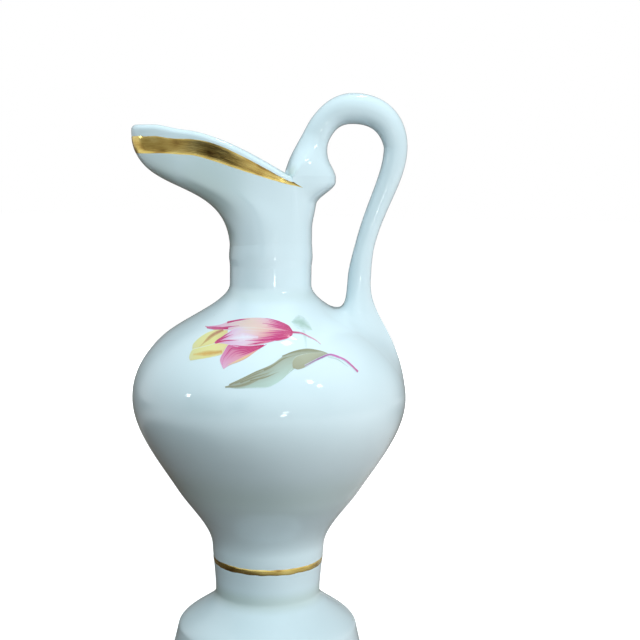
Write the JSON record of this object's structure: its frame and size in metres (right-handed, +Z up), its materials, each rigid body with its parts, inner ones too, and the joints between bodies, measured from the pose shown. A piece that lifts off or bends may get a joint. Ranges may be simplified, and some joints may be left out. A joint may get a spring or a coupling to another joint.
{
  "type": "ewer",
  "caption": "Small white porcelain ewer with a bell foot, round belly, slim neck, beaked pouring spout, high loop handle, gilded rim and waist line, and a printed tulip spray.",
  "frame": {"origin": "middle of the standing ring, on the table", "axes": "+Z up along the axis of the belly; the spout points along -X, the handle along +X and the flower faces -Y"},
  "size_m": [0.0603, 0.06, 0.1303],
  "materials": {
    "porcelain": "clear glossy glaze over bluish white porcelain",
    "slip": "joining slip under the same glossy glaze",
    "gilding": "bright liquid gold, brush painted and fired on",
    "pink_enamel": "fired transfer print, slightly glossy",
    "yellow_enamel": "fired transfer print, slightly glossy",
    "green_enamel": "fired transfer print, slightly glossy"
  },
  "bodies": {
    "root": {"foot": "porcelain", "foot_slip": "slip", "body": "porcelain", "neck_slip": "slip", "spout": "porcelain", "handle_root_slip": "slip", "handle": "porcelain", "handle_tail_slip": "slip", "waist_gilding": "gilding", "rim_gilding": "gilding", "pink_print": "pink_enamel", "yellow_print": "yellow_enamel", "green_print": "green_enamel"}
  },
  "joints": []
}
